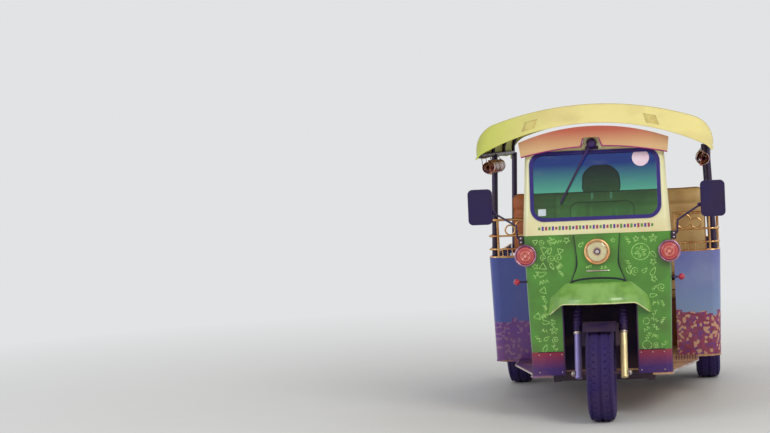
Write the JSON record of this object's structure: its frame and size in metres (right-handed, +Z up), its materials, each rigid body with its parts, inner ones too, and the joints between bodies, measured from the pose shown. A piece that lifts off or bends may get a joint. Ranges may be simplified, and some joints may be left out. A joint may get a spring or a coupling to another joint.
{
  "type": "open three-wheeled auto rickshaw",
  "caption": "Open auto rickshaw: steered front wheel on a telescopic fork, green cab front, cream windscreen frame, fabric canopy on hoops, bench for passengers.",
  "frame": {"origin": "middle of the footprint, on the ground", "axes": "+X to the vehicle's left, +Y to its rear, +Z up"},
  "size_m": [1.504, 3.06, 1.8499],
  "materials": {
    "green_paint": "gloss green paint with pale chalk-like drawings",
    "cream_paint": "gloss cream paint",
    "valance_paint": "dark red-violet paint",
    "panel_print": "gloss film, blue-grey sky over small blocks",
    "dark_paint": "very dark indigo paint",
    "floor_metal": "worn plate",
    "chrome": "polished",
    "clear_glass": "clear",
    "red_lens": "red translucent",
    "rubber": "dark rubber",
    "tyre": "dark tread rubber",
    "silver": "bright metal",
    "black_plastic": "dark moulding",
    "mirror": "mirror",
    "seat_vinyl": "tan vinyl",
    "canopy_fabric": "coated cream fabric",
    "clear_vinyl": "rolled clear sheet",
    "motor_metal": "cast casing",
    "battery_case": "plain block"
  },
  "bodies": {
    "chassis": {"battery_block": "battery_case", "bench_backrest": "seat_vinyl", "bench_base": "dark_paint", "bench_cushion": "seat_vinyl", "canopy": "canopy_fabric", "canopy_frame": "dark_paint", "chassis_frame": "dark_paint", "corner_rails": "chrome", "dash_console": "black_plastic", "drive_motor": "motor_metal", "driver_backrest": "seat_vinyl", "driver_cushion": "seat_vinyl", "driver_headrest": "seat_vinyl", "driver_seat_base": "dark_paint", "floor_platform": "floor_metal", "front_brow": "green_paint", "front_panel": "green_paint", "front_valance": "valance_paint", "headlamp_lens": "clear_glass", "headlamp_shell": "chrome", "indicator_bulbs": "red_lens", "indicator_stalks": "dark_paint", "leaf_springs": "dark_paint", "mirror_arms": "dark_paint", "mirror_glasses": "mirror", "mirror_heads": "black_plastic", "nose_panel": "green_paint", "plate_bracket": "dark_paint", "rear_axle": "dark_paint", "rear_bumper": "dark_paint", "rear_panel": "panel_print", "rear_wheel_housings": "dark_paint", "rolled_curtains": "clear_vinyl", "roof_peak": "cream_paint", "side_lamp_lenses": "red_lens", "side_lamp_shells": "chrome", "side_panel_left": "panel_print", "side_panel_right": "panel_print", "tail_lamp_lenses": "red_lens", "tail_lamp_shells": "black_plastic", "wheel_well": "dark_paint", "windscreen_frame": "cream_paint", "windscreen_gasket": "rubber", "windscreen_glass": "clear_glass", "wiper": "black_plastic"},
    "steering": {"steering_fork": "dark_paint", "fork_sliders": "silver", "front_axle": "dark_paint", "front_mudguard": "dark_paint", "handlebar": "dark_paint"},
    "front_wheel": {"front_wheel_tyre": "tyre", "front_wheel_rim": "silver"},
    "rear_left_wheel": {"rear_left_wheel_tyre": "tyre", "rear_left_wheel_rim": "silver"},
    "rear_right_wheel": {"rear_right_wheel_tyre": "tyre", "rear_right_wheel_rim": "silver"}
  },
  "joints": [
    {"name": "steering_turn", "type": "hinge", "parent": "chassis", "child": "steering", "pos_m": [0, -1.312, 0], "axis": [0, 0.3746, 0.9272], "range_deg": [-35, 35]},
    {"name": "front_wheel_spin", "type": "hinge", "parent": "steering", "child": "front_wheel", "pos_m": [0, -1.252, 0.278], "axis": [1, 0, 0], "continuous": true},
    {"name": "rear_left_wheel_spin", "type": "hinge", "parent": "chassis", "child": "rear_left_wheel", "pos_m": [0.635, 0.788, 0.278], "axis": [1, 0, 0], "continuous": true},
    {"name": "rear_right_wheel_spin", "type": "hinge", "parent": "chassis", "child": "rear_right_wheel", "pos_m": [-0.635, 0.788, 0.278], "axis": [1, 0, 0], "continuous": true}
  ]
}
